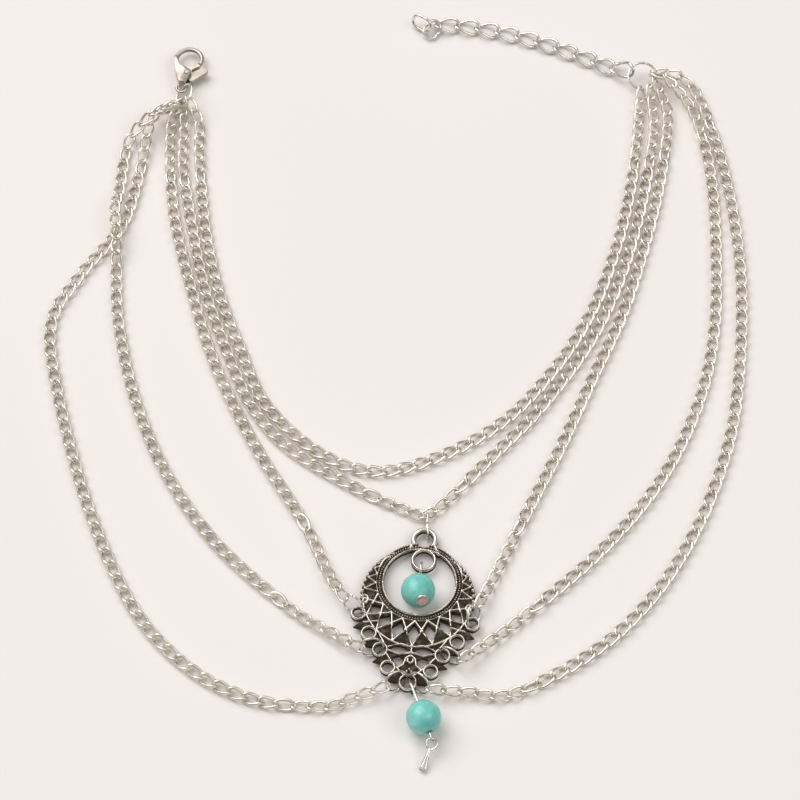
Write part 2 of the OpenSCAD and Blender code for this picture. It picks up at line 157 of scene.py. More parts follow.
def capped(name, line, radius, sides):
    """An open wire of one radius with slightly rounded ends."""
    line = np.asarray(line, float)
    out, narrow = 0.18 * radius, 0.72 * radius
    first = line[0] - unit(line[1] - line[0]) * out
    last = line[-1] + unit(line[-1] - line[-2]) * out
    radii = np.concatenate([[narrow], np.full(len(line), radius), [narrow]])
    line = np.concatenate([[first], line, [last]])
    points, quads = tube(line, radii, sides, False)
    points = np.concatenate([points, [line[0]], [line[-1]]])
    return make(name, points, [quads, end_caps(len(line) * sides, sides)])


def lathe(outline, steps):
    """Points and faces of a body turned about Z, from rows of radius and height that end on the axis."""
    outline = np.asarray(outline, float)
    angles = np.linspace(0, 2 * np.pi, steps, endpoint=False)
    inner = outline[1:-1]
    points = [[0, 0, outline[0][1]], [0, 0, outline[-1][1]]]
    for r, z in inner:
        points += [[r * math.cos(a), r * math.sin(a), z] for a in angles]
    points = np.array(points)
    quads, tris = [], []
    for i in range(len(inner) - 1):
        for k in range(steps):
            n = (k + 1) % steps
            a, b = 2 + i * steps, 2 + (i + 1) * steps
            quads.append([a + k, a + n, b + n, b + k])
    last = 2 + (len(inner) - 1) * steps
    for k in range(steps):
        n = (k + 1) % steps
        tris.append([0, 2 + n, 2 + k])
        tris.append([1, last + k, last + n])
    return points, quads, tris


def facing(way):
    """Rotation that turns Z to lie along a direction."""
    way = unit(way)
    helper = np.array([0.0, 0.0, 1.0]) if abs(way[2]) < 0.95 else np.array([1.0, 0.0, 0.0])
    x = unit(np.cross(helper, way))
    return np.stack([x, np.cross(way, x), way], axis=1)


# Materials. Positions come from the mesh itself, so each finish stays on its piece.

def material(name):
    mat = bpy.data.materials.new(name)
    mat.use_nodes = True
    tree = mat.node_tree
    shader = next(n for n in tree.nodes if n.type == "BSDF_PRINCIPLED")
    place = tree.nodes.new("ShaderNodeTexCoord")
    return mat, tree, shader, place.outputs["Object"]


def noise(tree, place, scale, detail=3, rough=0.5):
    node = tree.nodes.new("ShaderNodeTexNoise")
    node.inputs["Scale"].default_value = scale
    node.inputs["Detail"].default_value = detail
    node.inputs["Roughness"].default_value = rough
    tree.links.new(place, node.inputs["Vector"])
    return node.outputs["Fac"]


def ramp(tree, value, stops):
    node = tree.nodes.new("ShaderNodeValToRGB")
    while len(node.color_ramp.elements) < len(stops):
        node.color_ramp.elements.new(0.5)
    for element, (where, colour) in zip(node.color_ramp.elements, stops):
        element.position = where
        element.color = (*colour, 1)
    tree.links.new(value, node.inputs["Fac"])
    return node.outputs["Color"]


def spread(tree, value, low, high, out_low, out_high):
    """Maps the range low to high onto out_low to out_high."""
    node = tree.nodes.new("ShaderNodeMapRange")
    keys = ("From Min", "From Max", "To Min", "To Max")
    for key, number in zip(keys, (low, high, out_low, out_high)):
        node.inputs[key].default_value = number
    tree.links.new(value, node.inputs["Value"])
    return node.outputs["Result"]


def blend(tree, factor, first, second):
    """Mixes two colours, each a tuple or the output of another node."""
    node = tree.nodes.new("ShaderNodeMix")
    node.data_type = "RGBA"
    factor_in, first_in, second_in, colour_out = 0, 6, 7, 2
    tree.links.new(factor, node.inputs[factor_in])
    for number, value in ((first_in, first), (second_in, second)):
        if isinstance(value, tuple):
            node.inputs[number].default_value = (*value, 1)
        else:
            tree.links.new(value, node.inputs[number])
    return node.outputs[colour_out]


def bump(tree, shader, height, strength, distance):
    node = tree.nodes.new("ShaderNodeBump")
    node.inputs["Strength"].default_value = strength
    node.inputs["Distance"].default_value = distance
    tree.links.new(height, node.inputs["Height"])
    tree.links.new(node.outputs["Normal"], shader.inputs["Normal"])


# The stretch of a noise's values that a finish spreads out
NOISE_LOW = 0.3
NOISE_HIGH = 0.7


def silver(name, dark, light, rough, scratch=0.12):
    """Plated bright metal with slight tone changes, faint scratches and duller patches."""
    mat, tree, shader, place = material(name)
    shader.inputs["Metallic"].default_value = 1
    tone = noise(tree, place, scale=420, detail=4, rough=0.55)
    colour = ramp(tree, tone, [(0.3, dark), (0.62, light)])
    patches = spread(tree, noise(tree, place, scale=1100, rough=0.6), NOISE_LOW, NOISE_HIGH, *rough)
    tree.links.new(colour, shader.inputs["Base Color"])
    tree.links.new(patches, shader.inputs["Roughness"])
    scratches = noise(tree, place, scale=5200, rough=0.65)
    bump(tree, shader, scratches, strength=scratch, distance=0.00003)
    return mat


chain_silver = silver("chain_silver", (0.70, 0.65, 0.57), (0.92, 0.875, 0.79), (0.24, 0.38))
ring_silver = silver("ring_silver", (0.66, 0.62, 0.56), (0.88, 0.85, 0.80), (0.18, 0.3))
clasp_silver = silver("clasp_silver", (0.42, 0.375, 0.315), (0.58, 0.53, 0.46), (0.36, 0.48), 0.05)
pin_head_metal = silver("pin_head_metal", (0.60, 0.50, 0.46), (0.80, 0.71, 0.67), (0.26, 0.42), 0.3)


def antique(name, low, high):
    """Cast metal, black in its recesses and worn bright where it stands above the heights low to high."""
    black = (0.036, 0.023, 0.014)
    duller, brighter = (0.64, 0.58, 0.505), (0.87, 0.80, 0.715)
    stain_reach = 0.16
    mat, tree, shader, place = material(name)
    split = tree.nodes.new("ShaderNodeSeparateXYZ")
    tree.links.new(place, split.inputs[0])
    stain = noise(tree, place, scale=700, detail=4, rough=0.6)
    level = spread(tree, split.outputs["Z"], low * MM, high * MM, 0, 1)
    jitter = spread(tree, stain, NOISE_LOW, NOISE_HIGH, -stain_reach, stain_reach)
    add = tree.nodes.new("ShaderNodeMath")
    add.operation = "ADD"
    add.use_clamp = True
    tree.links.new(level, add.inputs[0])
    tree.links.new(jitter, add.inputs[1])
    worn = add.outputs[0]
    bright = ramp(tree, noise(tree, place, scale=1500, rough=0.6), [(0.3, duller), (0.65, brighter)])
    tree.links.new(blend(tree, worn, black, bright), shader.inputs["Base Color"])
    tree.links.new(spread(tree, worn, 0, 0.5, 0, 1), shader.inputs["Metallic"])
    shader.inputs["Specular IOR Level"].default_value = 0.2
    tree.links.new(spread(tree, worn, 0, 1, 0.85, 0.22), shader.inputs["Roughness"])
    grain = noise(tree, place, scale=3800, detail=4, rough=0.6)
    bump(tree, shader, grain, strength=0.3, distance=0.00005)
    return mat


def stone(name, seed):
    """Smooth opaque blue-green stone with paler clouds, faint veins and tiny pits."""
    deep, middle, pale = (0.135, 0.50, 0.45), (0.20, 0.63, 0.575), (0.36, 0.80, 0.745)
    vein_colour = (0.08, 0.33, 0.29)
    mat, tree, shader, place = material(name)
    shifted = tree.nodes.new("ShaderNodeMapping")
    shifted.inputs["Location"].default_value = (seed * 0.013, seed * 0.007, seed * 0.003)
    tree.links.new(place, shifted.inputs["Vector"])
    place = shifted.outputs["Vector"]
    cloud = noise(tree, place, scale=260, detail=5, rough=0.55)
    colour = ramp(tree, cloud, [(0.28, deep), (0.5, middle), (0.72, pale)])
    vein = tree.nodes.new("ShaderNodeTexWave")
    settings = {"Scale": 55, "Distortion": 14, "Detail": 4, "Detail Scale": 2.2}
    for key, number in settings.items():
        vein.inputs[key].default_value = number
    tree.links.new(place, vein.inputs["Vector"])
    line = spread(tree, vein.outputs["Fac"], 0, 0.03, 0.16, 0)
    tree.links.new(blend(tree, line, colour, vein_colour), shader.inputs["Base Color"])
    sheen = spread(tree, noise(tree, place, scale=900), NOISE_LOW, NOISE_HIGH, 0.2, 0.34)
    tree.links.new(sheen, shader.inputs["Roughness"])
    settings = {"Specular IOR Level": 0.45, "Coat Weight": 0.12, "Coat Roughness": 0.12}
    for key, number in settings.items():
        shader.inputs[key].default_value = number
    pits = noise(tree, place, scale=1800, detail=4, rough=0.6)
    bump(tree, shader, pits, strength=0.12, distance=0.00004)
    return mat


pendant_metal = antique("pendant_metal", 1.38, 1.6)
stone_upper = stone("stone_upper", 1)
stone_lower = stone("stone_lower", 4)


def finish_piece(obj, mat, body, slot, *replaced):
    """Gives a piece its finish and its body, and hides the nodes that it stands for. The slot is not
    used.
    """
    obj.data.materials.clear()
    obj.data.materials.append(mat)
    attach(obj, body)
    if replaced:
        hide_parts(*replaced)
    return obj


# Curb chains

# Links as length, width, wire and twist: a plain one, and one beside a ring or the hanger link
LINK = (4.1, 2.36, 0.56, 0.42)
END_LINK = (4.02, 2.2, 0.48, 0.42)
LINK_STEPS = 36
LINK_SIDES = 10
# Largest distance between the middles of two neighbouring links
PITCH = 2.82
# How many links at each end, and how far round the hanger link, have the ends' twist
END_COUNT = 6
HANGER_FOOT = (5.3, -31.6)
HANGER_REACH = 8
# Roll of the untwisted link between the two kinds, and the largest random turns of the lying links
CHANGE_ROLL = 27
LOOSE_ROLL = 2.0
LOOSE_YAW = 0.6
# Height of the middle of a lying chain
FLAT = 0.72


def flat(*pairs):
    """Route points of a chain that lies on the surface."""
    return [[x, y, FLAT] for x, y in pairs]


# Routes run from the clasp's ring to the end ring, or as far as the pendant's rings and on from
# there. A point is x, y and the height of the chain's middle.
ROUTES = {
    "strand_1": [[-40.01, 57.9, 2.5], [-38.59, 54.99, 1.28], [-38.2, 52.5, 0.8]]
    + flat((-38, 46), (-36.4, 30.5), (-33.4, 16), (-28.9, 3), (-23.9, -9), (-14.4, -18.9),
           (-4, -23), (7.5, -20), (19.4, -12.5), (29.2, -0.9), (36.1, 11.2), (40.7, 23.7),
           (43.8, 35.5), (46.1, 49))
    + [[46.79, 55.23, 0.87], [47.41, 61.16, 1.27]],
    "strand_2": [[-41.67, 57.47, 1.33], [-41.3, 55.52, 1.03], [-41.2, 51, 0.7]]
    + flat((-41, 43.5), (-38.9, 30.5), (-35.9, 16), (-31.6, 3.1), (-26.7, -8.9), (-19.5, -18.1),
           (-7, -26.6))
    + [[2.62, -31.4, 0.83], [4.32, -32.23, 1.1], [8.04, -29.69, 0.68]]
    + flat((18, -19), (26.2, -9.6), (34.9, 3.3), (40.7, 15.8), (45, 29.3), (48.1, 43.4))
    + [[49.72, 53.36, 0.86], [49.31, 61.67, 1.42]],
    "strand_3_left": [[-42.62, 58, 1.24], [-43.81, 51.91, 0.85]]
    + flat((-42.6, 34.5), (-38.8, 17.4), (-33.5, -0.3), (-25.6, -17.7), (-16.5, -33.5))
    + [[-12.2, -43.23, 1.08], [-9.61, -48.29, 2.33]],
    "strand_3_right": [[14.59, -49.42, 1.87], [16.87, -44.4, 0.89]]
    + flat((22.5, -32.5), (29, -19), (35.5, -4), (41.9, 10.8), (46.9, 26.9), (50.4, 41.5))
    + [[52.41, 56.01, 1.23], [50.61, 63.1, 1.85]],
    "strand_4_left": [[-42.07, 57.87, 2.68], [-47.05, 54.15, 4.28], [-51.64, 49.96, 1.23],
                      [-53, 39.1, 0.9], [-53.4, 33.3, 2.42], [-52.8, 26.6, 2.42],
                      [-52.6, 20.7, 0.9]]
    + flat((-51.5, 8), (-47.5, -8.5), (-41, -24), (-31.5, -38), (-19, -50))
    + [[-12.08, -54.86, 1.19], [-7.13, -58.15, 2.25]],
    "strand_4_right": [[11.79, -60.47, 2.43], [15.98, -56.97, 1.21]]
    + flat((22.5, -51.5), (36, -39), (47, -25), (54.5, -9.5), (58.5, 6.5), (60, 25.5), (59.9, 43.5))
    + [[57.43, 57.06, 1.04], [52.42, 63.9, 2.97], [50.84, 64.83, 2.55]],
    "strand_5_left": [[-43.44, 58.42, 1.01], [-47.46, 54.5, 2.05]]
    + flat((-49.3, 43), (-52.1, 30.5), (-59.5, 18.8), (-64, 8.5), (-62, -6), (-55, -30),
           (-46, -50), (-36, -61.5), (-25, -67.5), (-13, -69))
    + [[-8.29, -67.75, 0.96], [-2.94, -66.13, 1.95]],
    "strand_5_right": [[6.56, -66.53, 2.3], [12.02, -66.52, 1.15]]
    + flat((20, -66.5), (33.5, -59), (43.5, -49.5), (51.5, -37.5), (57.5, -24), (61.5, -9.5),
           (64, 12), (64, 29.5), (62.2, 46))
    + [[58.96, 60.04, 0.79], [55.6, 65.03, 1.6], [51.2, 65.71, 2.36]],
}
# Rolls of the first links and of the last ones, counted from the end, where they hang on their rings
ROLLS = {
    "strand_1": ([-6, 6], [31, 21, 9]),
    "strand_2": ([12, 16, 6], [22, 10.5]),
    "strand_3_left": ([-6, -17], [-7, 2]),
    "strand_3_right": ([2, 3], [23, 8]),
    "strand_4_left": ([4, -2, 5], []),
    "strand_4_right": ([], [31, 20, 8]),
    "strand_5_left": ([], [-9, -4]),
    "strand_5_right": ([], [12, -2]),
}


def smooth(route, steps=12):
    """A smooth curve through the route's points, with `steps` points from each to the next."""
    route = np.asarray(route, float)
    last = len(route) - 1
    path = []
    for i in range(last):
        a, b = route[max(i - 1, 0)], route[i]
        c, d = route[i + 1], route[min(i + 2, last)]
        for k in range(steps):
            t = k / steps
            path.append(0.5 * (2 * b + (c - a) * t + (2 * a - 5 * b + 4 * c - d) * t * t
                               + (3 * b - a - 3 * c + d) * t * t * t))
    path.append(route[last])
    return np.array(path)


def link_shape(size, rings, sides):
    """Points of one twisted curb link of round wire, and its faces."""
    length, width, wire, twist = size
    a, b = (length - wire) / 2, (width - wire) / 2
    t = np.linspace(0, 2 * np.pi, rings, endpoint=False)
    line = np.stack([a * np.cos(t), b * np.sin(t), twist * np.sin(2 * t)], axis=1)
    way = unit(np.stack([-a * np.sin(t), b * np.cos(t), 2 * twist * np.cos(2 * t)], axis=1))
    side = unit(np.cross([0.0, 0.0, 1.0], way))
    up = np.cross(way, side)
    k = np.linspace(0, 2 * np.pi, sides, endpoint=False)
    points = line[:, None] + wire / 2 * (side[:, None] * np.cos(k)[None, :, None]
                                         + up[:, None] * np.sin(k)[None, :, None])
    i, j = np.meshgrid(np.arange(rings), np.arange(sides), indexing="ij")
    n, m = (i + 1) % rings, (j + 1) % sides
    faces = np.stack([i * sides + j, n * sides + j, n * sides + m, i * sides + m], axis=-1)
    return points.reshape(-1, 3), faces.reshape(-1, 4)


def chain(name):
    """One object with every link of a strand, each at its place along the route.

    The links beside a ring or the hanger link are twisted one way and all others the other way,
    with an untwisted link between them.
    """
    path = smooth(ROUTES[name])
    path[:, 2] = np.maximum(path[:, 2], FLAT)
    run = np.concatenate([[0], np.cumsum(np.linalg.norm(np.diff(path, axis=0), axis=1))])
    gaps = math.ceil(run[-1] / PITCH)
    step = run[-1] / gaps
    first, last = ROLLS[name]

    def at(s):
        return np.array([np.interp(s, run, path[:, k]) for k in range(3)])

    # Each link's hand is 1 for the ends' twist, -1 for the others' and 0 for an untwisted link
    hands = []
    for i in range(gaps + 1):
        ends = i < END_COUNT or i > gaps - END_COUNT
        hands.append(1 if ends or math.dist(at(i * step)[:2], HANGER_FOOT) < HANGER_REACH else -1)
    for i in range(1, gaps):
        if hands[i] < 0 and hands[i - 1] != 0 and max(hands[i - 1], hands[i + 1]) > 0:
            hands[i] = 0
    shapes = {}
    for hand in (-1, 0, 1):
        size = END_LINK if hand > 0 else (*LINK[:3], LINK[3] * hand)
        shapes[hand], faces = link_shape(size, LINK_STEPS, LINK_SIDES)
    points, quads = [], []
    for i in range(gaps + 1):
        way = at((i + 0.5) * step) - at((i - 0.5) * step)
        rise = math.degrees(math.atan2(way[2], math.hypot(way[0], way[1])))
        yaw = math.degrees(math.atan2(way[1], way[0]))
        roll = 0
        if i < len(first):
            roll = first[i]
        elif gaps - i < len(last):
            roll = last[gaps - i]
        elif hands[i] == 0:
            roll = -CHANGE_ROLL if hands[i - 1] > 0 else CHANGE_ROLL
        elif hands[i] < 0 and hands[i - 1] == hands[i + 1] == -1:
            roll = random.uniform(-LOOSE_ROLL, LOOSE_ROLL)
            yaw += random.uniform(-LOOSE_YAW, LOOSE_YAW)
        points.append(shapes[hands[i]] @ turn(roll, -rise, yaw).T + at(i * step))
        quads.append(faces + i * len(points[0]))
    return make(name + "_links", np.concatenate(points), [np.concatenate(quads)])


random.seed(11)
for strand in ROUTES:
    finish_piece(chain(strand), chain_silver, "anklet", "silver", strand)


# Jump rings and extender links, bent from round wire that butts at a fine cut
WIRE_SIDES = 14
RING_STEPS = 96
# Half the gap of a ring's cut, as a length along the ring and some degrees more
CUT = 0.03
CUT_ANGLE = 0.4


def posed(points, pose):
    """Points turned and then moved to a pose, which is a place and three turns in degrees."""
    place, turns = pose
    return np.asarray(points, float) @ turn(*turns).T + np.array(place)


def cut_ring(name, pose, outer, wire, cut_at):
    """A round ring with its cut at an angle round it."""
    radius = (outer - wire) / 2
    half = math.degrees(CUT / radius) + CUT_ANGLE
    angles = np.radians(np.linspace(cut_at + half, cut_at + 360 - half, RING_STEPS))
    line = np.stack([radius * np.cos(angles), radius * np.sin(angles), 0 * angles], axis=1)
    return capped(name, posed(line, pose), wire / 2, WIRE_SIDES)


def oval_link(name, pose, length, width, wire, cut_at):
    """An oval link, long along its own X, with its cut at one of its points by number."""
    arc_steps, side_steps, cut_part = 32, 8, 0.12
    radius, straight = (width - wire) / 2, (length - width) / 2
    line = []
    for end in (1, -1):
        for k in range(arc_steps + 1):
            a = math.pi * (k / arc_steps - 0.5 * end)
            line.append([end * straight + radius * math.cos(a), radius * math.sin(a), 0])
        for k in range(1, side_steps):
            line.append([end * straight * (1 - 2 * k / side_steps), end * radius, 0])
    line = np.roll(np.array(line), -cut_at, axis=0)
    cut, after, before = line[0], line[1], line[-1]
    line = np.concatenate([[cut + (after - cut) * cut_part], line[1:],
                           [cut + (before - cut) * cut_part]])
    return capped(name, posed(line, pose), wire / 2, WIRE_SIDES)


# Each ring's place and turns, outer diameter, wire and the angle of its cut
SMALL_RING = (4.55, 0.4)
RINGS = {
    "clasp_ring": ([[-41.5, 60.5, 1.95], [0, -45, 0]], 5.1, 0.5, 150),
    "end_ring": ([[47.86, 64.89, 2.17], [17, 0, 0]], 6, 0.5, 75),
    "ring_3_left": ([[-7.68, -50.33, 2.22], [73, 0, 324]], *SMALL_RING, 100),
    "ring_3_right": ([[13.23, -52.29, 2.11], [65, 0, 67]], *SMALL_RING, 80),
    "ring_4_left": ([[-4.44, -58.43, 2.21], [71, 0, 8]], *SMALL_RING, 60),
    "ring_4_right": ([[9.15, -60.19, 2.3], [79, 0, 330]], *SMALL_RING, 120),
    "ring_5_left": ([[-0.19, -64.84, 2.2], [68, 0, 29]], *SMALL_RING, 95),
    "ring_5_right": ([[3.85, -65.25, 2.18], [70, 0, 319]], *SMALL_RING, 70),
}
for name, (pose, outer, wire, cut_at) in RINGS.items():
    ring = cut_ring(name + "_wire", pose, outer, wire, cut_at)
    finish_piece(ring, ring_silver, "anklet", "silver", name)

# The extender's curb links: two that rise to the ring, then a row that lies flat, as x, y and turn
EXTENDER_LINK = (5.55, 3.5, 0.6, 0.6)
EXTENDER_STEPS = 72
EXTENDER_LOW = 0.91
EXTENDER_ROW = [(36.8, 70.4, 155), (33.1, 72.15, 155), (29.35, 73.75, 157), (25.55, 75.2, 161),
                (21.65, 76.4, 164), (17.75, 77.4, 167), (13.75, 78.1, 172), (9.75, 78.5, 178)]
curb_poses = [[[44, 66.82, 1.9], [21, -18, -30]], [[40.33, 68.51, 1.1], [0, 1, 152]]]
curb_poses += [[[x, y, EXTENDER_LOW], [0, 0, yaw]] for x, y, yaw in EXTENDER_ROW]
link_points, link_faces = link_shape(EXTENDER_LINK, EXTENDER_STEPS, WIRE_SIDES)
for i, pose in enumerate(curb_poses):
    name = f"extender_link_{i + 1}"
    link = make(name + "_wire", posed(link_points, pose), [link_faces])
    finish_piece(link, ring_silver, "anklet", "silver", name)

# Plain oval links: pose, length, width, wire and the number of the point with the cut
OVAL_LINKS = {
    "extender_link_11": ([[6.92, 77.43, 1.05], [19, -6, 53]], 4.6, 3.4, 0.6, 74),
    "extender_link_12": ([[4.79, 78.35, 1.76], [66, 3, -34]], 4.6, 3.4, 0.6, 36),
    "hanger_link": ([[5.32, -34.19, 1.25], [84, 1, -90]], 5.2, 2.3, 0.4, 36),
}
for name, (pose, length, width, wire, cut_at) in OVAL_LINKS.items():
    link = oval_link(name + "_wire", pose, length, width, wire, cut_at)
    finish_piece(link, ring_silver, "anklet", "silver", name)


# The pendant, as a relief over its outline. Its own axes have the opening's centre at 0.
PENDANT_AT = np.array([3.9, -45.6, 0.7])
PENDANT_TURN = -6.25
# The round opening, its rim, and the crescent's outer circle, which is set lower by DROP
OPENING = 6.25
RIM = 7.62
OUTER = 9.8
DROP = 2.95
# Rings and loops as x, y, outer radius and bore radius. The side rings stand on both sides.
SIDE_RINGS = [[9.9, -7.1, 1.38, 0.95], [7.65, -10.75, 1.42, 1], [5.4, -13.65, 1.42, 1],
              [3.7, -16.85, 1.38, 0.95]]
FOOT_RING = [0, -19.3, 1.6, 1.2]
TOP_LOOP = [0, 8.5, 2.35, 1.5]
INNER_LOOP = [0.3, 4.38, 2.25, 1.68]
# A ball beside the inner loop as x, y and radius, and the angles of the grains along the horns
BALL = [2.65, 5.9, 0.42]
GRAINS = [68, 74, 80, 86, 92, 98.5, 105, 112, 119, 127, 135]
GRAIN_R = 0.36
# The angle that one cell of the lattice takes, and the radius where the lattice begins
LATTICE = 16.6
LATTICE_IN = 7.6


def reach(a):
    """Distance from the opening's centre to the outer circle, at an angle from straight down."""
    a = np.radians(a)
    return DROP * np.cos(a) + np.sqrt(OUTER ** 2 - (DROP * np.sin(a)) ** 2)


def polar(r, a):
    return np.array([r * math.sin(math.radians(a)), -r * math.cos(math.radians(a))])


def grain_at(angle):
    return polar(reach(angle) - 0.12, angle)


def to_disc(x, y, cx, cy, r):
    """Signed distance to a disc, below 0 inside."""
    return np.hypot(x - cx, y - cy) - r


def to_line(x, y, p, q):
    """Distance to the stretch from p to q."""
    p, q = np.asarray(p, float), np.asarray(q, float)
    d = q - p
    t = np.clip(((x - p[0]) * d[0] + (y - p[1]) * d[1]) / np.dot(d, d), 0, 1)
    return np.hypot(x - p[0] - t * d[0], y - p[1] - t * d[1])


def to_shape(x, y, corners):
    """Signed distance to a polygon, below 0 inside."""
    inside = np.zeros(np.shape(x), bool)
    far = np.full(np.shape(x), 1e9)
    for i in range(len(corners)):
        p, q = corners[i], corners[(i + 1) % len(corners)]
        far = np.minimum(far, to_line(x, y, p, q))
        crosses = (p[1] > y) != (q[1] > y)
        with np.errstate(divide="ignore", invalid="ignore"):
            where = p[0] + (y - p[1]) * (q[0] - p[0]) / (q[1] - p[1] + 1e-12)
        inside ^= crosses & (x < where)
    return np.where(inside, -far, far)


# The apron below the crescent, the right half's spikes, and the neck of the top loop
APRON = [[-6, -10.8], [-4.9, -14.4], [-3.9, -15.6], [-3, -17.6], [-1, -18.9],
         [1, -18.9], [3, -17.6], [3.9, -15.6], [4.9, -14.4], [6, -10.8]]
SPIKES = [[[7.4, -7.6], [9, -8.2], [10.6, -9.7], [8.5, -10.1], [6.6, -9.6]],
          [[5.7, -10.8], [7.2, -11.5], [8.5, -13.2], [6.6, -13.2], [4.8, -12.6]],
          [[3.7, -14.2], [5.2, -14.8], [6.5, -15.9], [4.7, -16.3], [3.2, -15.8]],
          [[2, -17.2], [3.6, -18.6], [3.3, -19.4], [1.8, -19.4], [0.6, -18.4]]]
NECK = [[-2.4, 6.5], [2.4, 6.5], [1.95, 7.7], [-1.95, 7.7]]
# The openings in the right half of the apron
WINDOWS = [
    [[0.5, -13.35], [0.75, -12.8], [1.9, -12.45], [3.1, -12.6], [3.9, -13.2], [2.2, -13.75]],
    [[1.15, -14.9], [2, -14.4], [3.1, -14.7], [2.8, -15.6], [2, -16.4], [1.4, -15.8]],
]


def diamond(k):
    """The opening in one cell of the lattice, clear of the wires round it."""
    a = k * LATTICE
    half = 0.4 * LATTICE
    out = reach(a) - 0.5
    middle = (LATTICE_IN + out) / 2
    inner, outer = LATTICE_IN + 0.4, out - 0.35
    return [polar(inner, a), polar(middle, a - half), polar(outer, a), polar(middle, a + half)]


def outline(x, y):
    """Signed distance to the pendant's outline and openings, below 0 in the metal."""
    m = np.abs(x)
    s = to_disc(x, y, 0, -DROP, OUTER)
    s = np.minimum(s, to_disc(x, y, 0, 0, RIM))
    s = np.minimum(s, to_shape(x, y, APRON))
    for angle in GRAINS:
        s = np.minimum(s, to_disc(m, y, *grain_at(angle), GRAIN_R))
    for ring in (TOP_LOOP, FOOT_RING, *SIDE_RINGS):
        s = np.minimum(s, to_disc(m, y, *ring[:3]))
    for spike in SPIKES:
        s = np.minimum(s, to_shape(m, y, spike))
    s = np.maximum(s, -to_disc(x, y, 0, 0, OPENING))
    s = np.minimum(s, to_shape(x, y, NECK))
    s = np.minimum(s, to_disc(x, y, *INNER_LOOP[:3]))
    s = np.maximum(s, -to_disc(x, y, *INNER_LOOP[:2], INNER_LOOP[3]))
    for ring in (TOP_LOOP, FOOT_RING, *SIDE_RINGS):
        s = np.maximum(s, -to_disc(m, y, *ring[:2], ring[3]))
    for window in WINDOWS:
        s = np.maximum(s, -to_shape(m, y, window))
    for k in range(-3, 4):
        s = np.maximum(s, -to_shape(x, y, diamond(k)))
    return np.minimum(s, to_disc(x, y, *BALL))


# Heights of the pendant's plain face and of the foot of its ridges, above its back
PLATE = 0.6
RIDGE_FOOT = 0.62
# The rim's two round ridges as radius, half-width and height, and the row of small beads between
RIM_RIDGES = [(6.44, 0.19, 1.16), (7.5, 0.12, 1.04)]
RIM_BEADS = 96
RIM_BEAD_ROW = 7.02
# The turning points of the zigzag wire on each horn, in degrees, and where the horns begin
HORN_ANGLES = [70, 77, 83, 90, 96, 103, 109, 116, 122, 129]
HORN_IN = 7.55
HORNS_FROM = 66
# Half-width and height of the rim's beads, the lattice's and the horns' wires, the crescent's
# edge and the raised lines
RIM_BEAD = (0.17, 1)
LATTICE_WIRE = (0.23, 1.06)
HORN_WIRE = (0.16, 1.04)
EDGE_RIDGE = (0.2, 1.02)
LINE_RIDGE = (0.2, 1.05)
# Heights of the grains, the rings and the two loops
GRAIN_TOP = 1.3
RING_TOP = 1.2
LOOP_TOP = 1.18
# The right half's raised lines
LINES = [
    [[0, -12.8], [0, -13.6]],
    [[0.1, -13.6], [2.1, -14.15], [4.3, -13.4]],
    [[0.5, -12.5], [1.9, -12.15], [4, -12.9]],
    [[6.4, -9.9], [4.4, -13]],
    [[4.2, -14.3], [3.1, -15.8], [2.1, -16.8], [1.1, -16], [0.85, -14.8], [0.1, -14.2]],
    [[2.1, -16.8], [0.9, -17.9]],
    [[0.42, -14.9], [0.42, -15.4], [0, -15.65]],
    [[6.3, -8.2], [8.8, -8.7]],
]
# The right half's raised dots as x, y, radius and height
DOTS = [(0.4, -17.2, 0.27, 1.12), (0, -16.75, 0.25, 1.12), (8.9, -4.9, 0.34, 1.08)]
# A distance so large that no ridge reaches there
FAR = 9


